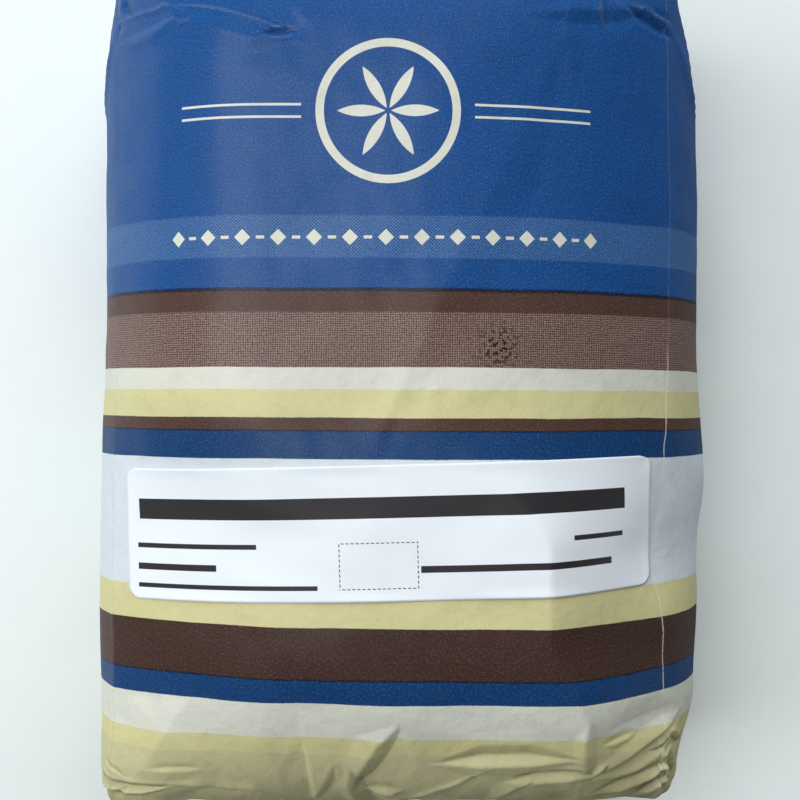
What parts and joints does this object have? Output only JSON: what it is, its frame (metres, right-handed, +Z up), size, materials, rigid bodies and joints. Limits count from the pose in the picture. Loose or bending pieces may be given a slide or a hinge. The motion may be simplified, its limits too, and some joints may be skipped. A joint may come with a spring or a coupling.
{
  "type": "bag of rye grain",
  "caption": "Shut one-kilogram printed paper bag of rye grain, lying on its back, with crosswise stripes and a plain paper sticker on its front.",
  "frame": {"origin": "middle of the flat patch of the bag's back, on the surface that it lies on", "axes": "+Z up, out of the bag's front; +Y along the bag towards its folded top end; +X to the right when the front is read"},
  "size_m": [0.1226, 0.165, 0.08],
  "materials": {
    "printed_paper": "printed bag paper with a slight sheen, striped blue, brown, off-white and straw yellow, creased and crumpled at its ends",
    "label_paper": "smooth white self-adhesive label paper with plain dark bars"
  },
  "bodies": {
    "root": {"bag": "printed_paper", "label": "label_paper"}
  },
  "joints": []
}
